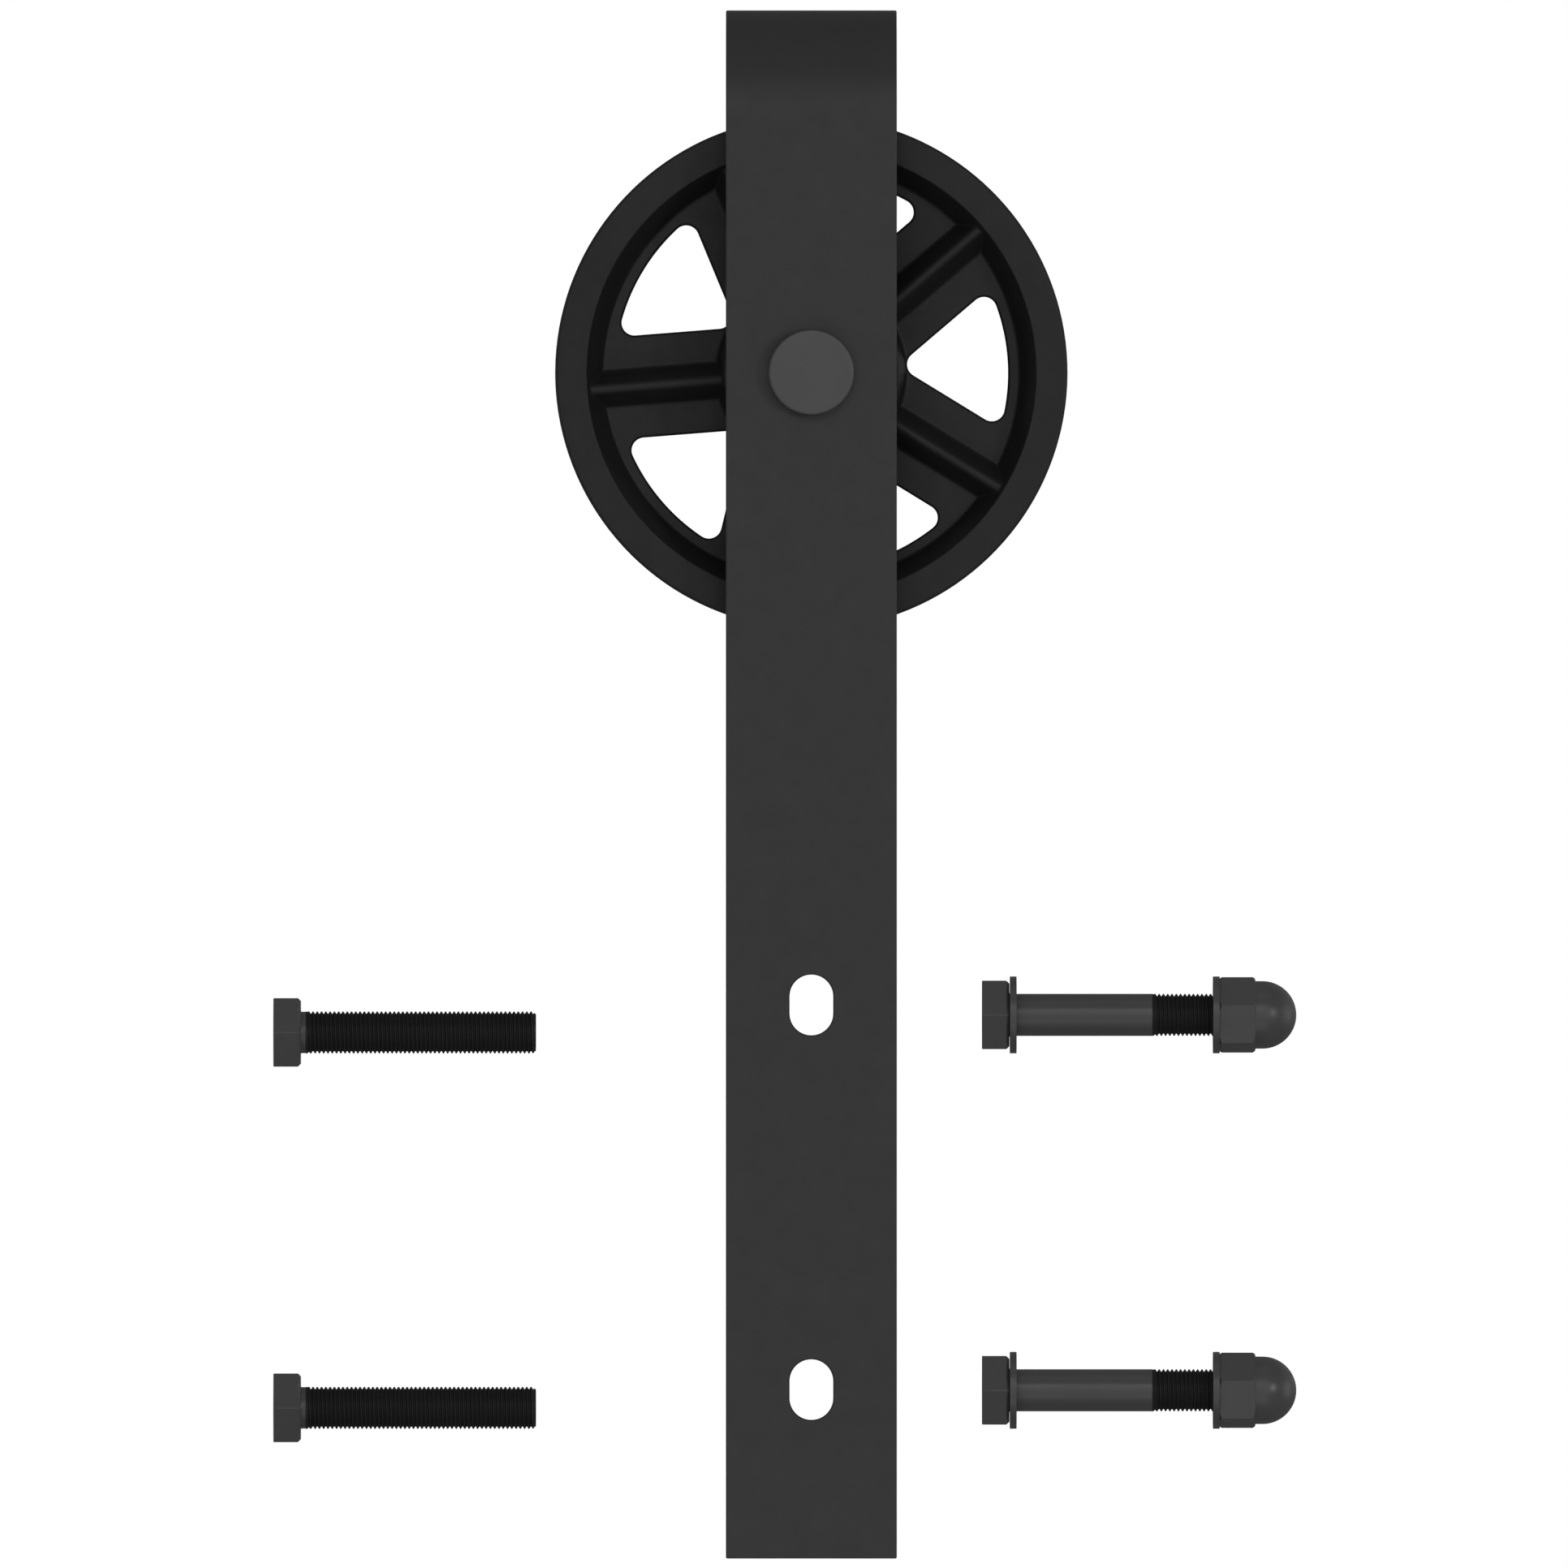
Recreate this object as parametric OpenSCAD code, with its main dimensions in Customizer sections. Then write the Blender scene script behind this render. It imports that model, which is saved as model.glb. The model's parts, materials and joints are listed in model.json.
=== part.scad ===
// Sliding barn door hanger. A flat steel strap is bent over a spoked, grooved wheel on ball bearings.
// The bolts that hold it to the door lie beside its slots, two with cap nuts and two threaded all the way.
// Origin: where the wheel sits on the track's top edge.
// +X runs along the track, +Y from the room to the wall, +Z up.

/* [Strap] */
// Width of the strap, along the track
strap_w = 40; // [38:0.5:44]
// Thickness of the strap
strap_t = 6; // [5:0.5:7]
// Clear gap between the strap's two legs
strap_gap = 38; // [37:0.5:42]
// How far the front leg reaches below the track's top edge
front_leg_drop = 225.5; // [225:0.5:300]
// Height of the rear leg's end above the track's top edge
rear_leg_z = 28; // [20:1:36]
// Width of a door bolt slot
slot_w = 10.2; // [9:0.1:12]
// End-to-end length of a door bolt slot
slot_l = 14.2; // [13:0.1:20]
// Distance between the two slots' centres
slot_spacing = 90; // [60:1:100]
// Distance from the lower slot's centre to the strap's end
slot_end = 39.5; // [20:0.5:60]

/* [Wheel] */
// Outer diameter of the wheel
wheel_d = 120; // [116:1:126]
// Width of the wheel's rim
wheel_w = 24; // [22:0.5:26]
// Width of the groove's floor
groove_w = 8; // [7:0.5:9]
// Depth of the groove
groove_depth = 8; // [7:0.5:8.5]
// Radial width of the rim's flat face
rim_face = 7.4; // [6:0.2:8]
// Radial run of the slope from the rim's face down to the web
rim_slope = 3.8; // [3:0.1:4]
// Thickness of the web
web_t = 6; // [5:0.5:7]
// Overall width of the hub
hub_w = 30; // [29:0.5:32]
// Outer diameter of the hub at the web
hub_d = 44; // [42:0.5:44.5]
// How much smaller the hub's radius is at its face
hub_draft = 1.6; // [0.5:0.1:2]
// Number of spokes
spokes = 5; // [4:1:6]
// Direction of the first spoke, from +X towards +Z
spoke_angle = 40.5; // [0:0.5:72]
// Half-width of the web left at each spoke
spoke_half = 12; // [11:0.5:13]
// Distance from the rim's slope to the windows' outer arc
window_edge = 2.7; // [2:0.1:4]
// Corner radius of the windows
window_corner = 3; // [2:0.1:4]
// Width of a spoke's rib at the web
rib_w = 8.3; // [7:0.1:9]
// Radius of the rib's rounded ridge
rib_round = 1.4; // [1:0.1:2]
// Depth of the rib's ridge below the rim's face
rib_below_face = 1.5; // [1:0.1:3]

/* [Bearings] */
// Outer diameter of a ball bearing
bearing_d = 32; // [32:1:34]
// Bore of a ball bearing
bearing_bore = 12; // [11.9:0.05:12.1]
// Width of a ball bearing
bearing_w = 10; // [9.8:0.1:10]
// Diameter of a ball
ball_d = 5.95; // [5.9:0.01:6]
// Balls in one bearing
balls = 7; // [6:1:8]
// Width of the shoulder between the two bearings
shoulder_w = 3.8; // [3:0.1:3.8]

/* [Axle] */
// Diameter of the axle bolt's shank
axle_d = 11.94; // [11.8:0.02:11.96]
// Diameter of the axle bolt's round head
axle_head_d = 20; // [18:0.5:24]
// Thickness of the axle bolt's head
axle_head_t = 4; // [3:0.5:5]
// Width across the flats of the lock nut
lock_nut_af = 19; // [18:0.5:20]
// Height of the lock nut
lock_nut_h = 12; // [10:0.5:14]

/* [Door bolts] */
// Width across the flats of the bolt heads and cap nuts
hex_af = 16; // [15:0.5:17]
// Thickness of a bolt head
hex_head_t = 6.4; // [6:0.1:7]
// Thread diameter of the door bolts
thread_d = 9.9; // [9.8:0.02:9.94]
// Length under the head of a fully threaded bolt
full_bolt_l = 55; // [45:1:60]
// Length under the head of a through bolt
door_bolt_l = 60; // [58:1:62]
// Plain length of a through bolt's shank
plain_shank_l = 33.4; // [30:0.1:40]
// Door and strap thickness that the two washers clamp
clamp_l = 45.9; // [44:0.1:47]
// Outer diameter of a washer
washer_d = 18; // [17:0.5:18.4]
// Thickness of a washer
washer_t = 1.6; // [1.4:0.1:2]
// Overall height of a cap nut
cap_nut_h = 17.9; // [17.5:0.1:19]
// Height of a cap nut's hexagon
cap_nut_hex_h = 8.3; // [7.5:0.1:9]
// Diameter of a cap nut's dome
dome_d = 15.8; // [15:0.1:16]

/* [Layout] */
// X of the loose full-thread bolts' tips
full_bolt_tip_x = -64.4; // [-90:0.1:-40]
// X of the loose through bolts' outer head faces
door_bolt_x = 39.9; // [30:0.1:60]
// Z of the upper full-thread bolt's axis
full_bolt_z = -102.4; // [-110:0.1:-95]
// Z of the upper through bolt's axis
door_bolt_z = -98.3; // [-110:0.1:-95]
// Distance from an upper loose bolt down to the lower one
bolt_row_pitch = 87.8; // [60:0.1:95]

/* [Hidden] */
$fn = 96;

COAT = "#363637";
CAST = "#2c2c2d";
OXIDE = "#3c3c3d";
STEEL = "#b9bbbe";
NYLON = "#e8e6dc";

// Extra length of a cutter past the face that it cuts
past = 1;
// Radial clearance of a part on its own shaft
slip = 0.12;

wheel_r = wheel_d / 2;
tread_r = wheel_r - groove_depth;
axle_z = tread_r;
gap_y = strap_gap / 2;
strap_y = gap_y + strap_t;
bend_z = axle_z + wheel_r;
slot_low_z = -front_leg_drop + slot_end;
neck_w = 12;

// Wheel section: radius against distance from the middle plane
rim_y = wheel_w / 2;
rim_in_r = wheel_r - rim_face;
web_r = rim_in_r - rim_slope;
web_y = web_t / 2;
hub_y = hub_w / 2;
hub_r = hub_d / 2;
hub_face_r = hub_r - hub_draft;
groove_flare = 1;
edge_r = 0.8;
bore_bevel = 0.5;

// Windows between the spokes
spoke_step = 360 / spokes;
window_r = web_r - window_edge;
corner_off = spoke_half + window_corner;
outer_corner_r = window_r - window_corner;
outer_corner_a = asin(corner_off / outer_corner_r);
inner_corner_r = corner_off / sin(spoke_step / 2);

rib_y = rim_y - rib_below_face;
rib_in = hub_face_r - 3;

// Bearings: pitch circle, race shoulders and the layout along the axle
bearing_r = bearing_d / 2;
bore_r = bearing_bore / 2;
pitch_r = (bearing_r + bore_r) / 2;
track_r = ball_d / 2 + 0.05;
inner_land_r = pitch_r - 2.1;
outer_land_r = pitch_r + 2.1;
shield_t = 0.35;
shield_in = 0.25;
shield_seat = 1.1;
cage_t = 1.6;
cage_w = 7.2;
bearing_y = shoulder_w / 2 + bearing_w / 2;
bearing_out_y = shoulder_w / 2 + bearing_w;
ring_t = 1.2;
ring_groove_w = 1.3;
ring_groove_r = bearing_r + 0.85;
ring_r = bearing_r + 0.8;
ring_w = 2.9;
ring_gap_a = 44;
lug_off_a = 5;
lug_r = 2.1;
lug_hole_r = 1;
lug_pitch_r = ring_r - ring_w - 0.6;
spacer_r = 8.4;

// Behind the rear leg
axle_washer_t = 2.5;
axle_washer_r = 12;
lock_nut_y = strap_y + axle_washer_t;
lock_hex_h = lock_nut_h - 3;
collar_r = 8.6;
insert_r = 7.7;
insert_h = 2.4;
axle_end_y = lock_nut_y + lock_nut_h + 2;

// Loose bolts lie on the plane of the strap's rear face, each on one corner of its head
hex_corner_r = hex_af / 2 / cos(30);
bolt_y = -gap_y - hex_corner_r;
thread_r = thread_d / 2;
under_head_r = thread_r - 0.1;
under_head_l = 1.2;
head_bevel = 0.68;
tip_bevel = 0.7;
washer_hole_r = 5.25;
head_washer_gap = 0.1;
nut_gap = 0.02;
nut_bore_r = thread_r + 0.05;
nut_bore_l = 13;
// Chamfer of a cap nut's hexagon, along the axis and across it, at its washer end and under its dome
nut_foot_chamfer = [0.47, 0.55];
nut_top_chamfer = [0.6, 0.8];
dome_straight = cap_nut_h - cap_nut_hex_h - dome_d / 2;
head_washer_x = door_bolt_x + hex_head_t + head_washer_gap;
nut_washer_x = head_washer_x + washer_t + clamp_l;
cap_nut_x = nut_washer_x + washer_t + nut_gap;
// Turn of a cap nut about its own axis; a bolt head has a corner towards the room
nut_turn = 16.2;

function polar(r, a) = r * [cos(a), sin(a)];
// Points of an arc about c, from angle a0 to a1
function arc(c, r, a0, a1, n = 4) = [for (i = [0:n]) c + polar(r, a0 + (a1 - a0) * i / n)];

// Lays children out about the axle: the shape's own X stays X, its Y turns up, and it is centred on y
module on_axle(y = 0) {
    translate([0, y, axle_z]) rotate([90, 0, 0]) children();
}

// A tube on the axle between y0 and y1
module axle_tube(y0, y1, r_out, r_in) {
    on_axle((y0 + y1) / 2) difference() {
        cylinder(r = r_out, h = y1 - y0, center = true);
        cylinder(r = r_in, h = y1 - y0 + 2 * past, center = true);
    }
}

// Puts a shape drawn along its own Z onto a loose bolt's axis, which runs along +X
module on_bolt(x, z) {
    translate([x, bolt_y, z]) rotate([0, 90, 0]) children();
}

/* ---- Strap ---- */

module strap_outline() {
    translate([-strap_y, -front_leg_drop]) square([strap_t, front_leg_drop + bend_z]);
    translate([gap_y, rear_leg_z]) square([strap_t, bend_z - rear_leg_z]);
    translate([0, bend_z]) difference() {
        circle(r = strap_y);
        circle(r = gap_y);
        translate([-strap_y - past, -strap_y - past]) square([2 * (strap_y + past), strap_y + past]);
    }
}

// One vertical slot through the front leg, centred at height z
module door_slot(z) {
    round_z = (slot_l - slot_w) / 2;
    translate([0, -gap_y - strap_t / 2, z]) rotate([90, 0, 0]) {
        cube([slot_w, 2 * round_z, strap_t + 2 * past], center = true);
        for (s = [-1, 1])
            translate([0, s * round_z, 0]) cylinder(d = slot_w, h = strap_t + 2 * past, center = true);
    }
}

module hanger_strap() {
    neck_hole = neck_w + 0.2;
    color(COAT) difference() {
        rotate([90, 0, 90]) linear_extrude(strap_w, center = true) strap_outline();
        door_slot(slot_low_z);
        door_slot(slot_low_z + slot_spacing);
        on_axle(-gap_y - strap_t / 2) cube([neck_hole, neck_hole, strap_t + 2 * past], center = true);
        on_axle(gap_y + strap_t / 2) cylinder(d = axle_d + 0.3, h = strap_t + 2 * past, center = true);
    }
}

/* ---- Axle ---- */

module axle_bolt() {
    head_edge = 0.5;
    shank_l = axle_end_y + gap_y;
    color(OXIDE) {
        on_axle(-strap_y) rotate_extrude() polygon([
            [0, 0], [axle_head_d / 2, 0], [axle_head_d / 2, axle_head_t - head_edge],
            [axle_head_d / 2 - head_edge, axle_head_t], [0, axle_head_t],
        ]);
        on_axle(-gap_y - strap_t / 2) cube([neck_w, neck_w, strap_t], center = true);
        on_axle(axle_end_y) rotate_extrude() polygon([
            [0, 0], [axle_d / 2 - tip_bevel, 0], [axle_d / 2, tip_bevel], [axle_d / 2, shank_l], [0, shank_l],
        ]);
    }
}

module front_spacer() {
    color(STEEL) axle_tube(-gap_y, -bearing_out_y, spacer_r, bore_r + slip);
}

module rear_spacer() {
    color(STEEL) axle_tube(bearing_out_y, gap_y, spacer_r, bore_r + slip);
}

module bearing_sleeve() {
    color(STEEL) axle_tube(-shoulder_w / 2, shoulder_w / 2, spacer_r, bore_r + slip);
}

module axle_washer() {
    color(OXIDE) axle_tube(strap_y, strap_y + axle_washer_t, axle_washer_r, bore_r + 0.5);
}

module axle_lock_nut() {
    hex_r = lock_nut_af / 2 / cos(30);
    bevel = 0.9;
    color(OXIDE) on_axle(lock_nut_y + lock_nut_h) difference() {
        union() {
            translate([0, 0, lock_nut_h - lock_hex_h]) intersection() {
                cylinder(r = hex_r, h = lock_hex_h, $fn = 6);
                rotate_extrude() polygon([
                    [0, 0], [hex_r - bevel, 0], [hex_r + 0.1, bevel * tan(30) + 0.1],
                    [hex_r + 0.1, lock_hex_h], [0, lock_hex_h],
                ]);
            }
            cylinder(r = collar_r, h = lock_nut_h - lock_hex_h);
        }
        translate([0, 0, -past]) cylinder(r = bore_r + 0.05, h = lock_nut_h + 2 * past);
        translate([0, 0, 0.4]) cylinder(r = insert_r, h = insert_h);
    }
}

module lock_nut_insert() {
    insert_y = lock_nut_y + lock_nut_h - 0.4;
    color(NYLON) axle_tube(insert_y - insert_h, insert_y, insert_r, bore_r + 0.02);
}

/* ---- Bearings ---- */

module inner_race(y) {
    color(STEEL) on_axle(y) rotate_extrude() difference() {
        translate([bore_r, -bearing_w / 2]) square([inner_land_r - bore_r, bearing_w]);
        translate([pitch_r, 0]) circle(r = track_r);
    }
}

module outer_race(y) {
    seat_y = bearing_w / 2 - shield_in - shield_t;
    color(STEEL) on_axle(y) rotate_extrude() difference() {
        translate([outer_land_r, -bearing_w / 2]) square([bearing_r - outer_land_r, bearing_w]);
        translate([pitch_r, 0]) circle(r = track_r);
        for (s = [0, 1]) mirror([0, s]) translate([0, seat_y])
            square([outer_land_r + shield_seat, shield_t]);
    }
}

module bearing_shields(y) {
    seat_y = bearing_w / 2 - shield_in - shield_t;
    shield_in_r = inner_land_r + 0.2;
    color(STEEL) on_axle(y) rotate_extrude() for (s = [0, 1]) mirror([0, s])
        translate([shield_in_r, seat_y]) square([outer_land_r + shield_seat - shield_in_r, shield_t]);
}

module at_balls() {
    for (i = [0:balls - 1]) rotate(i * 360 / balls) translate([pitch_r, 0, 0]) children();
}

module ball_cage(y) {
    color(STEEL) on_axle(y) difference() {
        cylinder(r = pitch_r + cage_t / 2, h = cage_w, center = true);
        cylinder(r = pitch_r - cage_t / 2, h = cage_w + 2 * past, center = true);
        at_balls() rotate([0, 90, 0]) cylinder(r = track_r, h = 2 * cage_t + 2 * past, center = true);
    }
}

module bearing_balls(y) {
    color(STEEL) on_axle(y) at_balls() sphere(d = ball_d);
}

// An open ring with a drilled lug at each end, in the groove of the hub
module retaining_ring(y) {
    gap_half = ring_gap_a / 2;
    lug_a = gap_half + lug_off_a;
    color(OXIDE) on_axle(y) difference() {
        union() {
            difference() {
                cylinder(r = ring_r, h = ring_t, center = true);
                cylinder(r = ring_r - ring_w, h = ring_t + 2 * past, center = true);
                linear_extrude(ring_t + 2 * past, center = true)
                    polygon([[0, 0], polar(2 * ring_r, -90 - gap_half), polar(2 * ring_r, -90 + gap_half)]);
            }
            for (s = [-1, 1]) rotate(-90 + s * lug_a) translate([lug_pitch_r, 0, 0])
                cylinder(r = lug_r, h = ring_t, center = true);
        }
        for (s = [-1, 1]) rotate(-90 + s * lug_a) translate([lug_pitch_r, 0, 0])
            cylinder(r = lug_hole_r, h = ring_t + 2 * past, center = true);
    }
}

module front_inner_race() { inner_race(-bearing_y); }
module rear_inner_race() { inner_race(bearing_y); }
module front_outer_race() { outer_race(-bearing_y); }
module rear_outer_race() { outer_race(bearing_y); }
module front_bearing_shields() { bearing_shields(-bearing_y); }
module rear_bearing_shields() { bearing_shields(bearing_y); }
module front_ball_cage() { ball_cage(-bearing_y); }
module rear_ball_cage() { ball_cage(bearing_y); }
module front_bearing_balls() { bearing_balls(-bearing_y); }
module rear_bearing_balls() { bearing_balls(bearing_y); }
module front_retaining_ring() { retaining_ring(-bearing_out_y - ring_groove_w / 2); }
module rear_retaining_ring() { retaining_ring(bearing_out_y + ring_groove_w / 2); }

/* ---- Wheel ---- */

// Half of the wheel's section, from the groove's floor over the rim, down the web and over the hub to the shoulder
function wheel_half() =
    let (lip_y = groove_w / 2 + groove_flare)
    concat(
        [[tread_r, 0], [tread_r, groove_w / 2]],
        arc([wheel_r - edge_r, lip_y + edge_r], edge_r, -80, 0),
        arc([wheel_r - edge_r, rim_y - edge_r], edge_r, 0, 90),
        [[rim_in_r, rim_y], [web_r, web_y], [hub_r, web_y], [hub_face_r, hub_y - bore_bevel]],
        [[hub_face_r - bore_bevel, hub_y], [bearing_r + bore_bevel, hub_y], [bearing_r, hub_y - bore_bevel]],
        [[bearing_r, bearing_out_y + ring_groove_w], [ring_groove_r, bearing_out_y + ring_groove_w]],
        [[ring_groove_r, bearing_out_y], [bearing_r, bearing_out_y]],
        [[bearing_r, shoulder_w / 2], [bearing_r - 2, shoulder_w / 2], [bearing_r - 2, 0]]
    );

module wheel_body() {
    half = wheel_half();
    last = len(half) - 1;
    rotate_extrude() polygon(concat(half, [for (i = [last - 1:-1:1]) [half[i][0], -half[i][1]]]));
}

// The window after spoke 0: two sides parallel to their spokes, an outer arc and three round corners
module window_outline() {
    inner_c = polar(inner_corner_r, spoke_step / 2);
    first_c = polar(outer_corner_r, outer_corner_a);
    last_c = polar(outer_corner_r, spoke_step - outer_corner_a);
    first_n = window_corner * [0, -1];
    last_n = window_corner * [-sin(spoke_step), cos(spoke_step)];
    intersection() {
        circle(r = window_r);
        polygon([
            inner_c, inner_c + first_n, first_c + first_n, first_c, 1.5 * first_c, 1.5 * last_c, last_c,
            last_c + last_n, inner_c + last_n,
        ]);
    }
    for (c = [inner_c, first_c, last_c]) translate(c) circle(r = window_corner);
}

// Section of a spoke's two ribs, front and rear, in one outline
module rib_outline() {
    rise = rib_y - rib_round - web_y;
    side = atan2(rib_w / 2 - rib_round, rise);
    foot_y = web_y / 2;
    foot_w = rib_w / 2 + (web_y - foot_y) * tan(side);
    ridge = arc([0, rib_y - rib_round], rib_round, side, 180 - side);
    half = concat([[foot_w, foot_y]], ridge, [[-foot_w, foot_y]]);
    polygon(concat(half, [for (p = half) -p]));
}

// Where ribs may reach: short of the groove's floor near the middle plane, and into the rim's sides beyond it
module rib_limit() {
    deep_y = groove_w / 2 + 1;
    rotate_extrude() polygon([
        [0, -rim_y], [tread_r + 2, -rim_y], [tread_r + 2, -deep_y], [tread_r - 0.6, -deep_y],
        [tread_r - 0.6, deep_y], [tread_r + 2, deep_y], [tread_r + 2, rim_y], [0, rim_y],
    ]);
}

module wheel() {
    color(CAST) on_axle() difference() {
        union() {
            wheel_body();
            intersection() {
                for (i = [0:spokes - 1]) rotate(spoke_angle + i * spoke_step)
                    translate([rib_in, 0, 0]) rotate([90, 0, 90]) linear_extrude(wheel_r - rib_in) rib_outline();
                rib_limit();
            }
        }
        for (i = [0:spokes - 1]) rotate(spoke_angle + i * spoke_step)
            linear_extrude(web_t + 2 * past, center = true) window_outline();
    }
}

/* ---- Loose door fasteners ---- */

// A hexagon head from its outer face, with a bevel along its six flats on the shank side
module hex_head() {
    flat_r = hex_af / 2;
    straight = hex_head_t - head_bevel;
    intersection_for(a = [0, 60, 120]) rotate([90, 0, a]) linear_extrude(4 * flat_r, center = true) polygon([
        [-flat_r, 0], [flat_r, 0], [flat_r, straight], [flat_r - head_bevel, hex_head_t],
        [head_bevel - flat_r, hex_head_t], [-flat_r, straight],
    ]);
}

// A cap nut's hexagon, with its corners turned off in a cone at both ends
module nut_hexagon() {
    over = 0.1;
    foot_slope = nut_foot_chamfer[0] / nut_foot_chamfer[1];
    top_slope = nut_top_chamfer[0] / nut_top_chamfer[1];
    intersection() {
        rotate(nut_turn) cylinder(r = hex_corner_r, h = cap_nut_hex_h, $fn = 6);
        rotate_extrude() polygon([
            [0, 0], [hex_corner_r - nut_foot_chamfer[1], 0],
            [hex_corner_r + over, nut_foot_chamfer[0] + over * foot_slope],
            [hex_corner_r + over, cap_nut_hex_h - nut_top_chamfer[0] - over * top_slope],
            [hex_corner_r - nut_top_chamfer[1], cap_nut_hex_h], [0, cap_nut_hex_h],
        ]);
    }
}

// A bolt from its outer head face to its tip; plain is the length of shank left without thread
module hex_bolt(length, neck_r, plain) {
    hex_head();
    translate([0, 0, hex_head_t]) rotate_extrude() polygon([
        [0, -past], [neck_r, -past], [neck_r, plain], [thread_r, plain], [thread_r, length - tip_bevel],
        [thread_r - tip_bevel, length], [0, length],
    ]);
}

module full_thread_bolt(z) {
    color(OXIDE) on_bolt(full_bolt_tip_x - full_bolt_l - hex_head_t, z)
        hex_bolt(full_bolt_l, under_head_r, under_head_l);
}

module door_bolt(z) {
    color(OXIDE) on_bolt(door_bolt_x, z) hex_bolt(door_bolt_l, thread_r - 0.02, plain_shank_l);
}

module washer(x, z) {
    color(OXIDE) on_bolt(x, z) difference() {
        cylinder(d = washer_d, h = washer_t);
        translate([0, 0, -past]) cylinder(r = washer_hole_r, h = washer_t + 2 * past);
    }
}

module cap_nut(z) {
    dome_r = dome_d / 2;
    dome_z = cap_nut_hex_h + dome_straight;
    color(OXIDE) on_bolt(cap_nut_x, z) difference() {
        union() {
            nut_hexagon();
            cylinder(r = dome_r, h = dome_z);
            intersection() {
                translate([0, 0, dome_z]) sphere(r = dome_r);
                translate([0, 0, dome_z - past]) cylinder(r = dome_r + past, h = dome_r + 2 * past);
            }
        }
        translate([0, 0, -past]) cylinder(r = nut_bore_r, h = nut_bore_l + past);
    }
}

module full_thread_bolt_upper() { full_thread_bolt(full_bolt_z); }
module full_thread_bolt_lower() { full_thread_bolt(full_bolt_z - bolt_row_pitch); }
module door_bolt_upper() { door_bolt(door_bolt_z); }
module door_bolt_lower() { door_bolt(door_bolt_z - bolt_row_pitch); }
module head_washer_upper() { washer(head_washer_x, door_bolt_z); }
module head_washer_lower() { washer(head_washer_x, door_bolt_z - bolt_row_pitch); }
module nut_washer_upper() { washer(nut_washer_x, door_bolt_z); }
module nut_washer_lower() { washer(nut_washer_x, door_bolt_z - bolt_row_pitch); }
module cap_nut_upper() { cap_nut(door_bolt_z); }
module cap_nut_lower() { cap_nut(door_bolt_z - bolt_row_pitch); }

hanger_strap();
axle_bolt();
front_spacer();
rear_spacer();
bearing_sleeve();
axle_washer();
axle_lock_nut();
lock_nut_insert();
front_inner_race();
rear_inner_race();
wheel();
front_outer_race();
rear_outer_race();
front_bearing_shields();
rear_bearing_shields();
front_retaining_ring();
rear_retaining_ring();
front_ball_cage();
rear_ball_cage();
front_bearing_balls();
rear_bearing_balls();
full_thread_bolt_upper();
full_thread_bolt_lower();
door_bolt_upper();
door_bolt_lower();
head_washer_upper();
head_washer_lower();
nut_washer_upper();
nut_washer_lower();
cap_nut_upper();
cap_nut_lower();
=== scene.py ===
import json
import math

import bmesh
import bpy
import numpy as np
from mathutils import Matrix, Vector

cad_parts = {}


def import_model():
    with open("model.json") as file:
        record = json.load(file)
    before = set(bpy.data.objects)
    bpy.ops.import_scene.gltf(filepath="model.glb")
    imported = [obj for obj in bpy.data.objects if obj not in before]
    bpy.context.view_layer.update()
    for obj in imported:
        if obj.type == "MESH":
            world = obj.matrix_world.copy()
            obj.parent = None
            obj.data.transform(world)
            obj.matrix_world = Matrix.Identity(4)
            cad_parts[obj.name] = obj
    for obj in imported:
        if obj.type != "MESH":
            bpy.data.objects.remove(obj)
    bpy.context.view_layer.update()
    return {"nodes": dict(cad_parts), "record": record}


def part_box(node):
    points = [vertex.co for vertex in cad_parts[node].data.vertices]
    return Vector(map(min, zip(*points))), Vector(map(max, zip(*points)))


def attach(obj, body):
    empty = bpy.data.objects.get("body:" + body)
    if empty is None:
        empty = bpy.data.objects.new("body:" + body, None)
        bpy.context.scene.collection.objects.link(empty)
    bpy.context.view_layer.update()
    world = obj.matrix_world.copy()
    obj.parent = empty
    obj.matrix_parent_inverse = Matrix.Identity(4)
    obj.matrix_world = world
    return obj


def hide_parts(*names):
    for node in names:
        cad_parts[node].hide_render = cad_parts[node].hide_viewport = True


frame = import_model()

# Lengths are in millimetres unless a comment says metres, in the frame of the CAD:
# +X along the track, +Y to the wall, +Z up, with the origin where the wheel stands on the track.
MM = 0.001
TAU = 2 * math.pi


# ---------------------------------------------------------------- what the CAD says

def low(node):
    return np.array(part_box(node)[0]) / MM


def high(node):
    return np.array(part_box(node)[1]) / MM


def middle(node):
    return (low(node) + high(node)) / 2


def node_points(node):
    """The corners of a CAD node's mesh."""
    return np.array([v.co for v in frame["nodes"][node].data.vertices]) / MM


# ---------------------------------------------------------------- mesh tools

MERGE = 1e-7  # metres
MERGE_AFTER_CUT = 1e-6  # metres
NEARLY_STRAIGHT = 1.5  # radians, half the angle at a corner
SIDE_SHARE = 0.48  # how much of a side one rounded corner may take


def finish_mesh(obj, sharp, weighted):
    """Smooth shading, with hard edges where faces meet at more than the angle sharp, in degrees."""
    obj.data.shade_smooth()
    obj.data.set_sharp_from_angle(angle=math.radians(sharp))
    if weighted:
        modifier = obj.modifiers.new("normals", "WEIGHTED_NORMAL")
        modifier.keep_sharp = True


def link_object(name, mesh):
    obj = bpy.data.objects.new(name, mesh)
    bpy.context.scene.collection.objects.link(obj)
    return obj


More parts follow.
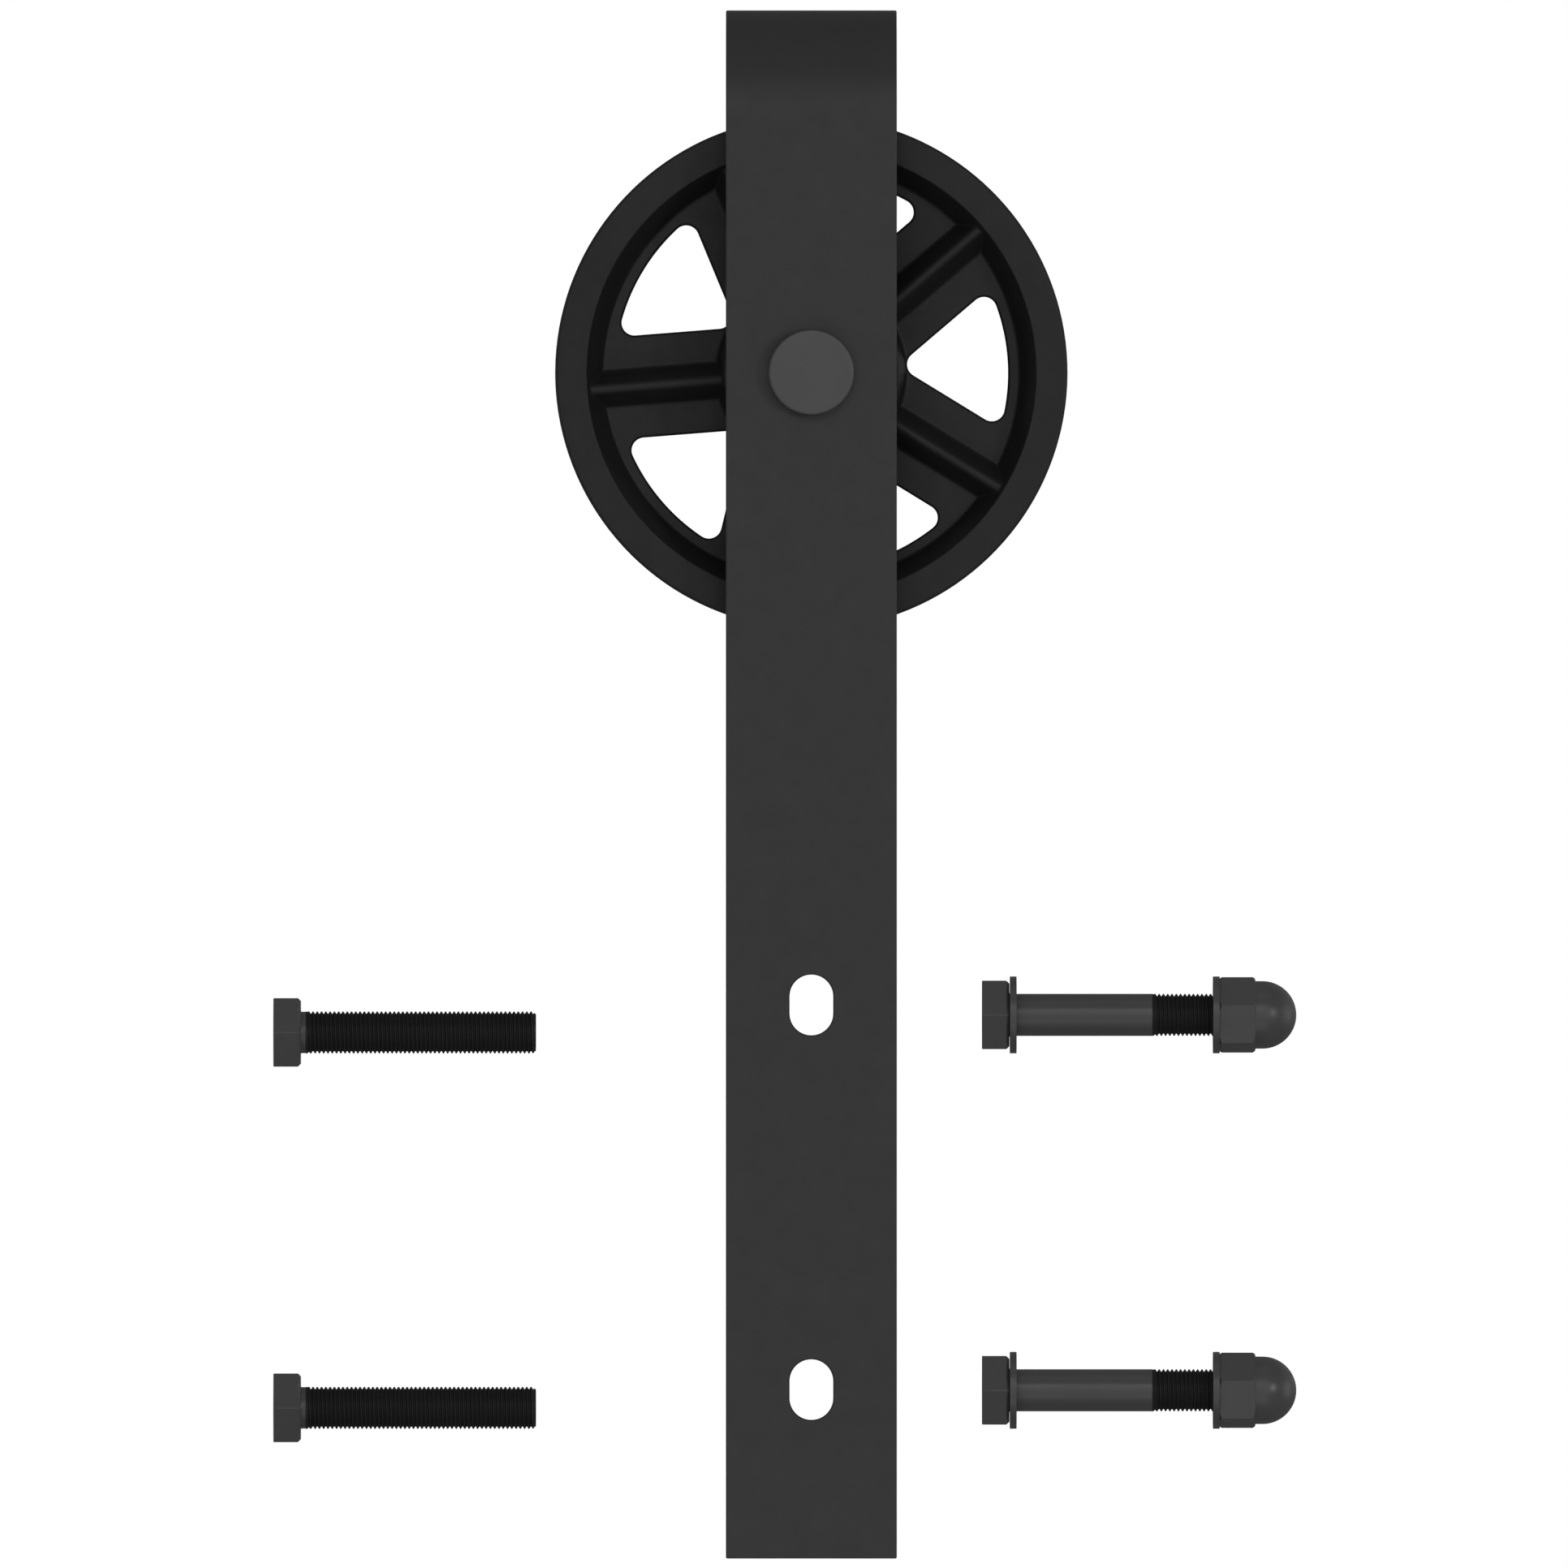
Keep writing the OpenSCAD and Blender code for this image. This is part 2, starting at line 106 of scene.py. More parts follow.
def mesh_object(name, points, faces):
    """An object from points in millimetres. Points that coincide become one, and faces turn outward."""
    mesh = bpy.data.meshes.new(name)
    mesh.from_pydata([tuple(p) for p in np.asarray(points, float) * MM], [], faces)
    bm = bmesh.new()
    bm.from_mesh(mesh)
    bmesh.ops.remove_doubles(bm, verts=bm.verts, dist=MERGE)
    bmesh.ops.dissolve_degenerate(bm, dist=MERGE, edges=bm.edges)
    bmesh.ops.recalc_face_normals(bm, faces=bm.faces)
    bm.to_mesh(mesh)
    bm.free()
    return link_object(name, mesh)


def grid_faces(n_rows, n_cols, start=0, shift=0, closed=False):
    """Quads of a grid whose columns wrap round.

    Where they wrap, a column joins on the row that is shift further on, as a thread does. In a closed
    grid the last row joins the first.
    """
    faces = []
    for i in range(n_rows if closed else n_rows - 1):
        for j in range(n_cols):
            k, step = (j + 1, 0) if j + 1 < n_cols else (0, shift)
            a, b = i + step, i + 1 + step
            if closed:
                b %= n_rows
            elif b >= n_rows:
                continue
            faces.append((start + i * n_cols + j, start + a * n_cols + k,
                          start + b * n_cols + k, start + ((i + 1) % n_rows) * n_cols + j))
    return faces


def fan(ring, centre):
    """Triangles from a ring of vertex numbers to a centre vertex."""
    return [(a, b, centre) for a, b in zip(ring, ring[1:] + ring[:1])]


def rounded(points, radius, steps=3, closed=True):
    """A polyline with its corners turned into arcs. radius is one number or one for each point."""
    out = []
    pts = [np.array(p, float) for p in points]
    n = len(pts)
    for i, p in enumerate(pts):
        r = radius[i] if isinstance(radius, (list, tuple)) else radius
        if r <= 0 or (not closed and i in (0, n - 1)):
            out.append(tuple(p))
            continue
        a, b = pts[i - 1] - p, pts[(i + 1) % n] - p
        la, lb = np.linalg.norm(a), np.linalg.norm(b)
        a, b = a / la, b / lb
        half = math.acos(max(-1, min(1, float(a @ b)))) / 2
        if half > NEARLY_STRAIGHT:
            out.append(tuple(p))
            continue
        cut = min(r / math.tan(half), SIDE_SHARE * la, SIDE_SHARE * lb)
        centre = p + (a + b) / np.linalg.norm(a + b) * cut / math.cos(half)
        s, e = p + a * cut - centre, p + b * cut - centre
        a0 = math.atan2(s[1], s[0])
        sweep = (math.atan2(e[1], e[0]) - a0 + math.pi) % TAU - math.pi
        rr = np.linalg.norm(s)
        for k in range(steps + 1):
            t = a0 + sweep * k / steps
            out.append((centre[0] + rr * math.cos(t), centre[1] + rr * math.sin(t)))
    return out


def rectangle(u0, u1, v0, v1):
    return [(u0, v0), (u1, v0), (u1, v1), (u0, v1)]


def even_columns(count):
    return np.arange(count) * TAU / count


def corner_columns(sides, phase, touch, count):
    """Even columns, with more of them round each corner of a regular polygon."""
    extra = [phase + k * TAU / sides + f * touch for k in range(sides) for f in (-1, -0.5, 0, 0.5, 1)]
    return np.array(sorted({round(a % TAU, 6) for a in list(even_columns(count)) + extra}))


def polygon_radius(phi, sides, apothem, corner, phase):
    """Radius at angle phi of a regular polygon with rounded corners, one of them at angle phase."""
    step = TAU / sides
    d = (phi - phase + step / 2) % step - step / 2
    c = (apothem - corner) / math.cos(step / 2)
    touch = math.atan2(corner * math.sin(step / 2), c + corner * math.cos(step / 2))
    arc = c * np.cos(d) + np.sqrt(np.maximum(corner ** 2 - (c * np.sin(d)) ** 2, 0))
    flat = apothem / np.cos(step / 2 - np.abs(d))
    return np.where(np.abs(d) < touch, arc, flat)


class Axis:
    """An axis with its own cylinder coordinates."""

    def __init__(self, origin, e_cos, e_sin, e_axis):
        self.origin = np.array(origin, float)
        self.e = [np.array(v, float) for v in (e_cos, e_sin, e_axis)]

    def points(self, r, phi, a):
        r, phi, a = np.broadcast_arrays(r, phi, a)
        return (self.origin + (r * np.cos(phi))[..., None] * self.e[0]
                + (r * np.sin(phi))[..., None] * self.e[1] + a[..., None] * self.e[2])


AXLE = Axis([0, 0, middle("wheel")[2]], (1, 0, 0), (0, 0, 1), (0, 1, 0))


def bolt_axis(node):
    """The axis of a loose bolt, nut or washer, which lies along X, from its low end."""
    mid = middle(node)
    return Axis([low(node)[0], mid[1], mid[2]], (0, 0, -1), (0, 1, 0), (1, 0, 0))


def revolve(name, axis, rows, columns, closed=False, thread=None):
    """A solid from rows of (radius, distance along the axis), each a number or one for each column.

    Closed rows make a ring; otherwise each end is closed to the axis. thread holds thread_grid's
    values for a threaded end after the last row.
    """
    n = len(columns)
    grid = [axis.points(np.asarray(r, float), columns, np.asarray(a, float)) for r, a in rows]
    points = np.concatenate(grid)
    faces = grid_faces(len(rows), n, closed=closed)
    if closed:
        return mesh_object(name, points, faces)
    points = np.vstack([points, axis.points(0.0, 0.0, np.mean(rows[0][1]))])
    faces += fan(list(range(n)), len(points) - 1)
    last = list(range((len(rows) - 1) * n, len(rows) * n))
    end = np.mean(rows[-1][1])
    if thread:
        more, more_faces, last = thread_grid(axis, columns, len(points), **thread)
        points = np.vstack([points, more])
        faces += more_faces
        end = thread["a1"]
    points = np.vstack([points, axis.points(0.0, 0.0, end)])
    faces += fan(last, len(points) - 1)
    return mesh_object(name, points, faces)


# One turn of a thread: where along the pitch, and how deep as a share of the full depth
THREAD_AT = (0.0, 0.05, 0.15, 0.25, 0.30, 0.56, 0.65, 0.74, 1.0)
THREAD_DEPTH = (0.15, 0.04, 0.0, 0.04, 0.15, 0.95, 1.0, 0.95, 0.15)
RUN_IN = 1.2  # turns over which the thread gets its full depth
SPARE_TURNS = (2, 3)  # turns before and after the thread, which are squeezed into its end planes


def thread_grid(axis, columns, start, a0, a1, radius, pitch, depth, bevel):
    """Rows that follow the helix and stop at the planes a0 and a1, run in at a0 and bevelled at a1.

    Returns the points, the faces and the last row's vertex numbers, which count from start.
    """
    turn = columns / TAU
    before, after = SPARE_TURNS
    rows = []
    for k in range(-before, int(math.ceil((a1 - a0) / pitch)) + after):
        for f in THREAD_AT[:-1]:
            a = np.clip(a0 + pitch * (k + f + turn), a0, a1)
            deep = np.interp(((a - a0) / pitch - turn) % 1.0, THREAD_AT, THREAD_DEPTH)
            run_in = np.clip((a - a0) / (RUN_IN * pitch), 0, 1)
            r = np.minimum(radius - depth * deep * run_in, radius - bevel + (a1 - a))
            rows.append(axis.points(r, columns, a))
    n = len(columns)
    ring = [start + (len(rows) - 1) * n + j for j in range(n)]
    return np.concatenate(rows), grid_faces(len(rows), n, start=start, shift=len(THREAD_AT) - 1), ring


def loft(name, rings):
    """A solid through rings of points, closed at both ends by flat faces."""
    n = len(rings[0])
    faces = grid_faces(len(rings), n)
    faces += [tuple(range(n)), tuple(range((len(rings) - 1) * n, len(rings) * n))]
    return mesh_object(name, np.concatenate([np.array(r, float) for r in rings]), faces)


def cut_away(obj, cutters):
    """Cuts the closed shapes out of obj, and removes them."""
    for cutter in cutters:
        modifier = obj.modifiers.new("cut", "BOOLEAN")
        modifier.operation = "DIFFERENCE"
        modifier.solver = "EXACT"
        modifier.object = cutter
    bpy.context.view_layer.update()
    evaluated = obj.evaluated_get(bpy.context.evaluated_depsgraph_get())
    cut = bpy.data.meshes.new_from_object(evaluated)
    obj.modifiers.clear()
    obj.data = cut
    for cutter in cutters:
        bpy.data.objects.remove(cutter)
    bm = bmesh.new()
    bm.from_mesh(cut)
    bmesh.ops.dissolve_degenerate(bm, dist=MERGE_AFTER_CUT, edges=bm.edges)
    bm.to_mesh(cut)
    bm.free()
    return obj


# ---------------------------------------------------------------- material tools

NOISE_SPAN = (0.3, 0.7)  # nearly all of a noise texture's values lie in here


def graph(name):
    """A new material, its nodes and links, its shader and its object coordinates."""
    material = bpy.data.materials.new(name)
    material.use_nodes = True
    nodes = material.node_tree.nodes
    coords = nodes.new("ShaderNodeTexCoord")
    return material, nodes, material.node_tree.links, nodes["Principled BSDF"], coords.outputs["Object"]


def noise(nodes, links, where, size, detail, roughness=0.5):
    """Noise with grains of about this size in millimetres."""
    node = nodes.new("ShaderNodeTexNoise")
    node.inputs["Scale"].default_value = 1 / (size * MM)
    node.inputs["Detail"].default_value = detail
    node.inputs["Roughness"].default_value = roughness
    links.new(where, node.inputs["Vector"])
    return node.outputs[0]


def ramp(nodes, links, value, dark, light):
    """A colour between dark and light from a noise value."""
    node = nodes.new("ShaderNodeValToRGB")
    for element, position, colour in zip(node.color_ramp.elements, NOISE_SPAN, (dark, light)):
        element.position = position
        element.color = (*colour, 1)
    links.new(value, node.inputs["Fac"])
    return node.outputs["Color"]


def remap(nodes, links, value, lo, hi):
    """A number between lo and hi from a noise value."""
    node = nodes.new("ShaderNodeMapRange")
    node.inputs["From Min"].default_value = NOISE_SPAN[0]
    node.inputs["From Max"].default_value = NOISE_SPAN[1]
    node.inputs["To Min"].default_value = lo
    node.inputs["To Max"].default_value = hi
    links.new(value, node.inputs["Value"])
    return node.outputs["Result"]


def maths(nodes, links, operation, value, factor, added=None):
    """value times factor, plus added with the operation MULTIPLY_ADD."""
    node = nodes.new("ShaderNodeMath")
    node.operation = operation
    node.inputs[1].default_value = factor
    links.new(value, node.inputs[0])
    if added:
        links.new(added, node.inputs[2])
    return node.outputs[0]


def bump(nodes, links, height, depth, strength, normal=None):
    node = nodes.new("ShaderNodeBump")
    node.inputs["Strength"].default_value = strength
    node.inputs["Distance"].default_value = depth * MM
    links.new(height, node.inputs["Height"])
    if normal:
        links.new(normal, node.inputs["Normal"])
    return node.outputs["Normal"]


def grey(value, tint=0.0):
    """A grey whose blue is stronger by the share tint."""
    return (value, value, value * (1 + tint))


# ---------------------------------------------------------------- materials

COAT_BLOTCH = 14
COAT_FINE_SHARE = 0.45  # how much of the mottle is fine grain, and the rest is blotches
COAT_GLOSS_PATCH = 5
COAT_GLOSS_SPAN = 0.04
COAT_GRAIN_STRENGTH = 0.5
COAT_TINT = 0.02
PIT_SIZE = 2.2  # in grains
PIT_STRENGTH = 0.4


def coated(name, tone, contrast, rough, grain, depth, specular, pits=0.0):
    """Paint, powder or oxide on metal: mottled tone, uneven gloss and a fine grain.

    pits adds cast pits, as deep as the grain times this number.
    """
    material, nodes, links, shader, where = graph(name)
    blotch = noise(nodes, links, where, COAT_BLOTCH, 3)
    fine = noise(nodes, links, where, grain, 3, 0.6)
    part = maths(nodes, links, "MULTIPLY", blotch, 1 - COAT_FINE_SHARE)
    mottle = maths(nodes, links, "MULTIPLY_ADD", fine, COAT_FINE_SHARE, part)
    dark, light = grey(tone * (1 - contrast), COAT_TINT), grey(tone * (1 + contrast), COAT_TINT)
    links.new(ramp(nodes, links, mottle, dark, light), shader.inputs["Base Color"])
    gloss = noise(nodes, links, where, COAT_GLOSS_PATCH, 4)
    uneven = remap(nodes, links, gloss, rough - COAT_GLOSS_SPAN, rough + COAT_GLOSS_SPAN)
    links.new(uneven, shader.inputs["Roughness"])
    normal = bump(nodes, links, fine, depth, COAT_GRAIN_STRENGTH)
    if pits:
        cells = nodes.new("ShaderNodeTexVoronoi")
        cells.inputs["Scale"].default_value = 1 / (PIT_SIZE * grain * MM)
        links.new(where, cells.inputs["Vector"])
        normal = bump(nodes, links, cells.outputs["Distance"], depth * pits, PIT_STRENGTH, normal)
    links.new(normal, shader.inputs["Normal"])
    shader.inputs["Specular IOR Level"].default_value = specular
    return material


RING_SCALE = 6  # with it, the wave texture's rings lie nearly twice the given length apart
RING_DISTORTION = 2.0
RING_DETAIL = 3
RING_STRENGTH = 0.35
METAL_CLOUD = 4
METAL_DARK, METAL_LIGHT = 0.86, 1.06
METAL_SMOOTHER, METAL_ROUGHER = 0.05, 0.06


def bare_metal(name, tone, rough, ring, depth, tint):
    """Turned, ground or pressed steel: fine rings round the axle, with a little cloudiness."""
    material, nodes, links, shader, where = graph(name)
    mapping = nodes.new("ShaderNodeMapping")
    mapping.inputs["Location"].default_value = (0, 0, -AXLE.origin[2] * MM)
    links.new(where, mapping.inputs["Vector"])
    wave = nodes.new("ShaderNodeTexWave")
    wave.wave_type = "RINGS"
    wave.rings_direction = "Y"
    wave.inputs["Scale"].default_value = 1 / (ring * MM * RING_SCALE)
    wave.inputs["Distortion"].default_value = RING_DISTORTION
    wave.inputs["Detail"].default_value = RING_DETAIL
    links.new(mapping.outputs["Vector"], wave.inputs["Vector"])
    rings = wave.outputs["Fac"]
    cloud = noise(nodes, links, where, METAL_CLOUD, 4)
    dark, light = grey(tone * METAL_DARK, tint), grey(tone * METAL_LIGHT, tint)
    links.new(ramp(nodes, links, cloud, dark, light), shader.inputs["Base Color"])
    uneven = remap(nodes, links, rings, rough - METAL_SMOOTHER, rough + METAL_ROUGHER)
    links.new(uneven, shader.inputs["Roughness"])
    links.new(bump(nodes, links, rings, depth, RING_STRENGTH), shader.inputs["Normal"])
    shader.inputs["Metallic"].default_value = 1.0
    return material


NYLON_DARK, NYLON_LIGHT = (0.74, 0.72, 0.65), (0.84, 0.83, 0.78)
NYLON_SMOOTH, NYLON_ROUGH = 0.38, 0.5
NYLON_GRAIN, NYLON_GRAIN_DEPTH, NYLON_GRAIN_STRENGTH = 0.4, 0.01, 0.4
NYLON_SUBSURFACE = 0.08
NYLON_SUBSURFACE_SCALE = 0.002  # metres


def nylon_material():
    material, nodes, links, shader, where = graph("nylon")
    cloud = noise(nodes, links, where, 3, 3)
    grain = noise(nodes, links, where, NYLON_GRAIN, 2)
    links.new(ramp(nodes, links, cloud, NYLON_DARK, NYLON_LIGHT), shader.inputs["Base Color"])
    links.new(remap(nodes, links, cloud, NYLON_SMOOTH, NYLON_ROUGH), shader.inputs["Roughness"])
    normal = bump(nodes, links, grain, NYLON_GRAIN_DEPTH, NYLON_GRAIN_STRENGTH)
    links.new(normal, shader.inputs["Normal"])
    shader.inputs["Subsurface Weight"].default_value = NYLON_SUBSURFACE
    shader.inputs["Subsurface Scale"].default_value = NYLON_SUBSURFACE_SCALE
    return material


COATINGS = {
    # tone, contrast, roughness, grain, its depth, specular, pits
    "black_coat": (0.030, 0.05, 0.52, 0.35, 0.012, 0.40),
    "cast_black": (0.0158, 0.10, 0.50, 0.6, 0.03, 0.27, 1.2),
    "axle_black": (0.067, 0.05, 0.42, 0.3, 0.008, 0.5),
    "black_oxide": (0.065, 0.07, 0.36, 0.25, 0.006, 0.42),
    # painted shade: a darker tone for the threaded ends, standing in for the shade between the thread's
    # flanks
    "thread_painted_shade": (0.016, 0.12, 0.5, 0.2, 0.006, 0.2),
    "spring_black": (0.022, 0.12, 0.42, 0.2, 0.006, 0.5),
}
METALS = {
    # tone, roughness, about half the distance of the rings, their depth, tint
    "zinc_steel": (0.55, 0.34, 0.12, 0.004, 0.04),
    "bearing_steel": (0.62, 0.2, 0.06, 0.0015, 0.02),
    "pressed_steel": (0.5, 0.36, 0.3, 0.003, 0.02),
}
MATERIALS = {name: coated(name, *values) for name, values in COATINGS.items()}
MATERIALS.update({name: bare_metal(name, *values) for name, values in METALS.items()})
MATERIALS["nylon"] = nylon_material()
SLOT_OF = {p["node"]: p["material_slot"] for p in frame["record"]["subparts"]}
BODIES = frame["record"]["behaviour"]["bodies"]
BODY_OF = {node: body for body, nodes in BODIES.items() for node in nodes}


def place(obj, node, sharp=32, weighted=True):
    """obj takes the node's place: its body, its slot and that slot's material."""
    finish_mesh(obj, sharp, weighted)
    obj.data.materials.clear()
    obj.data.materials.append(MATERIALS[SLOT_OF[node]])
    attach(obj, BODY_OF[node])
    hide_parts(node)
    return obj


def paint_thread_shade(obj, axis, thread_from):
    """Gives the threaded end a darker material: painted shade that stands for the shade between a thread's
    flanks.
    """
    obj.data.materials.append(MATERIALS["thread_painted_shade"])
    centres = np.zeros(len(obj.data.polygons) * 3)
    obj.data.polygons.foreach_get("center", centres)
    along = (centres.reshape(-1, 3) / MM - axis.origin) @ axis.e[2]
    index = (along > thread_from).astype(np.int32)
    obj.data.polygons.foreach_set("material_index", index)


# ---------------------------------------------------------------- strap

STRAP_EDGE = 0.35
BEND_STEPS = 64
EDGE_BREAK = 0.3
CUT_PAST = 1.0  # how far a cutter reaches past a face
SLOT_STEPS = 24
SQUARE_HALF = 6.1  # the square hole for the axle's neck, in the front leg
AXLE_HOLE_R = 6.12  # the round hole, in the rear leg
AXLE_HOLE_STEPS = 64


def outline_cutter(outline, y0, y1):
    """A cutter along Y that flares where it leaves the two faces. outline(grow) gives (x, z) points."""
    flare = CUT_PAST + EDGE_BREAK
    rings = []
    for y, grow in ((y0 - CUT_PAST, flare), (y0 + EDGE_BREAK, 0),
                    (y1 - EDGE_BREAK, 0), (y1 + CUT_PAST, flare)):
        rings.append([(x, y, z) for x, z in outline(grow)])
    return loft("cutter", rings)


def slot_cutter(y0, y1, z, width, length):
    def outline(grow):
        r = width / 2 + grow
        reach = (length - width) / 2
        turns = [math.pi * k / SLOT_STEPS for k in range(SLOT_STEPS + 1)]
        upper = [(r * math.cos(a), z + reach + r * math.sin(a)) for a in turns]
        return upper + [(-x, 2 * z - zz) for x, zz in upper]
    return outline_cutter(outline, y0, y1)


def hole_cutter(y0, y1, z, r):
    def outline(grow):
        turns = even_columns(AXLE_HOLE_STEPS)
        return [((r + grow) * math.cos(a), z + (r + grow) * math.sin(a)) for a in turns]
    return outline_cutter(outline, y0, y1)


def square_cutter(y0, y1, z, half):
    corners = rectangle(-half, half, -half, half)
    return loft("cutter", [[(x, y, z + dz) for x, dz in corners] for y in (y0, y1)])


def strap_piece():
    """The bar, bent over the wheel, with its two slots and the holes for the axle."""
    node = "hanger_strap"
    lo, hi = low(node), high(node)
    points = node_points(node)
    outer = hi[1]
    inner = -points[(points[:, 1] < 0) & (points[:, 2] < 0)][:, 1].max()
    rear_end = points[points[:, 1] > 0][:, 2].min()
    bend_z = hi[2] - outer
    half_t = (outer - inner) / 2
    mid_r = (outer + inner) / 2
    half_w = -lo[0]
    section = rounded(rectangle(-half_w, half_w, -half_t, half_t), STRAP_EDGE)

    def ring(y, z, ny, nz, inset):
        """The section at (y, z), across X and along the normal (ny, nz), drawn in by inset."""
        out = []
        for x, t in section:
            x = math.copysign(max(abs(x) - inset, 0), x)
            t = math.copysign(max(abs(t) - inset, 0), t)
            out.append((x, y + ny * t, z + nz * t))
        return out

    ease = [(STRAP_EDGE * (1 - math.sin(a)), STRAP_EDGE * (1 - math.cos(a))) for a in
            (0, math.pi / 6, math.pi / 3, math.pi / 2)]
    rings = [ring(-mid_r, lo[2] + up, -1, 0, inset) for inset, up in ease]
    for k in range(BEND_STEPS + 1):
        a = math.pi * k / BEND_STEPS
        c, s = math.cos(a), math.sin(a)
        rings.append(ring(-mid_r * c, bend_z + mid_r * s, -c, s, 0))
    rings += [ring(mid_r, rear_end + up, 1, 0, inset) for inset, up in reversed(ease)]
    strap = loft("strap", rings)

    slots = [m for m in frame["record"]["mounts"] if m["name"] == "door_slots"][0]
    width = 2 * slots["dims"]["hole_r_mm"]
    length = slots["dims"]["slot_length_mm"]
    pitch = slots["dims"]["spacing_y_mm"]
    centre_z = slots["pos_m"][2] / MM
    axle_z = AXLE.origin[2]
    cutters = [slot_cutter(-outer, -inner, centre_z + s * pitch / 2, width, length) for s in (-1, 1)]
    cutters.append(square_cutter(-outer - CUT_PAST, -inner + CUT_PAST, axle_z, SQUARE_HALF))
    cutters.append(hole_cutter(inner, outer, axle_z, AXLE_HOLE_R))
    place(cut_away(strap, cutters), node)


# ---------------------------------------------------------------- wheel

SPOKES = 5
SPOKE_STEP = TAU / SPOKES
FIRST_SPOKE = math.radians(40.5)
GROOVE_FLOOR = 4.0  # half the width of the groove's floor
GROOVE_FLARE = 1.0
RIM_Y = 12.0
RIM_FACE_IN = 52.6
WEB_R = 48.8
WEB_Y = 3.0
HUB_R = 22.0
HUB_FACE_R = 20.4
BORE_R = 16.0
BORE_STOP_R = 14.0  # the step in the bore between the two bearings
BORE_STOP_Y = 1.9
SEAT_R = 16.85  # the seat of a retaining ring
SEAT_Y0, SEAT_Y1 = 11.9, 13.2
RIB_HALF = 4.15
RIB_ROUND = 1.4
RIB_TOP = 10.5
RIB_FILLET = 1.3
RIB_FROM_R = HUB_FACE_R - 1.2
RIB_TO_R = RIM_FACE_IN + 0.4
# columns across half a rib, as distances from its middle line, and steps from one rib to the next
RIB_COLUMNS = [0, 0.35, 0.7, 1.0, 1.28, 1.5, 1.9, 2.4, 2.9, 3.3, 3.6, 3.9, 4.15, 4.4, 4.7, 5.1]
GAP_COLUMNS = 26
STEEP_ROW, FLAT_ROW = 0.55, 1.6  # distance of the added rows on steep and flat parts of the section
SHORT_ROW = 0.6  # stretches no longer than this get no added rows
WINDOW_R = 46.1
WINDOW_SIDE = 12.0
WINDOW_CORNER = 3.0
WINDOW_CORNER_STEPS = 12
WINDOW_ARC_STEPS = 20
WINDOW_EDGE = 0.5
WINDOW_CUT_PAST = 1.5


def rib_height(t):
    """Height above the wheel's middle plane of a rib at a distance t from its own middle line."""
    rise = RIB_TOP - RIB_ROUND - WEB_Y
    side = math.atan2(RIB_HALF - RIB_ROUND, rise)
    t0, y0 = RIB_ROUND * math.cos(side), RIB_TOP - RIB_ROUND + RIB_ROUND * math.sin(side)
    slope = (y0 - WEB_Y) / (RIB_HALF - t0)
    t = np.abs(t)
    ridge = RIB_TOP - RIB_ROUND + np.sqrt(np.maximum(RIB_ROUND ** 2 - t ** 2, 0))
    return np.where(t < t0, ridge, y0 - (t - t0) * slope)


def smooth_max(a, b, k):
    """The larger of two heights, with a fillet between them."""
    h = np.maximum(k - np.abs(a - b), 0) / k
    return np.maximum(a, b) + h * h * k / 4


def wheel_section():
    """Rows of (radius, y, ribbed) round the whole section. Ribs rise only from the ribbed rows."""
    wheel_r, hub_y = high("wheel")[:2]
    tread_r = AXLE.origin[2]
    # from the middle of the groove's floor to the middle of the bore: radius, y, corner radius
    corners = [
        (tread_r, 0, 0), (tread_r, GROOVE_FLOOR, 0.5), (wheel_r, GROOVE_FLOOR + GROOVE_FLARE, 0.6),
        (wheel_r, RIM_Y, 0.8), (RIM_FACE_IN, RIM_Y, 0.45), (WEB_R, WEB_Y, 0.9), (HUB_R, WEB_Y, 1.2),
        (HUB_FACE_R, hub_y, 0.7), (BORE_R, hub_y, 0.5), (BORE_R, SEAT_Y1, 0), (SEAT_R, SEAT_Y1, 0),
        (SEAT_R, SEAT_Y0, 0), (BORE_R, SEAT_Y0, 0), (BORE_R, BORE_STOP_Y, 0),
        (BORE_STOP_R, BORE_STOP_Y, 0.2), (BORE_STOP_R, 0, 0),
    ]
    half = rounded([c[:2] for c in corners], [c[2] for c in corners], 4, closed=False)
    # more rows along the slope, the web and the hub's side, so that the ribs have points to rise from
    dense = []
    for p, q in zip(half, half[1:]):
        dense.append(p)
        length = math.dist(p, q)
        inside = p[0] >= HUB_FACE_R - 1 and q[0] < RIM_FACE_IN + 1
        if inside and min(p[1], q[1]) >= WEB_Y - 0.1 and length > SHORT_ROW:
            steep = abs(q[1] - p[1]) > 1
            count = int(length / STEEP_ROW) if steep else max(2, int(length / FLAT_ROW))
            dense += [(p[0] + (q[0] - p[0]) * i / count, p[1] + (q[1] - p[1]) * i / count)
                      for i in range(1, count)]
    dense.append(half[-1])
    # the groove's own rows, before the rim's face, carry no ribs
    rim_at = next(i for i, p in enumerate(dense) if p[1] >= RIM_Y)
    section = [(r, y, i > rim_at) for i, (r, y) in enumerate(dense)]
    return section + [(r, -y, ribbed) for r, y, ribbed in reversed(section[1:-1])]


def wheel_ring(r):
    """Angles of a row's columns at the radius r, and their distances from the nearest rib's middle."""
    near = [-t for t in reversed(RIB_COLUMNS[1:])] + RIB_COLUMNS
    edge = math.asin(near[-1] / r)
    phi, across = [], []
    for s in range(SPOKES):
        base = FIRST_SPOKE + s * SPOKE_STEP
        for t in near:
            phi.append(base + math.asin(t / r))
            across.append(t)
        for k in range(1, GAP_COLUMNS):
            share = edge + (SPOKE_STEP - 2 * edge) * k / GAP_COLUMNS
            phi.append(base + share)
            across.append(r * math.sin(min(share, SPOKE_STEP - share)))
    return np.array(phi), np.array(across)


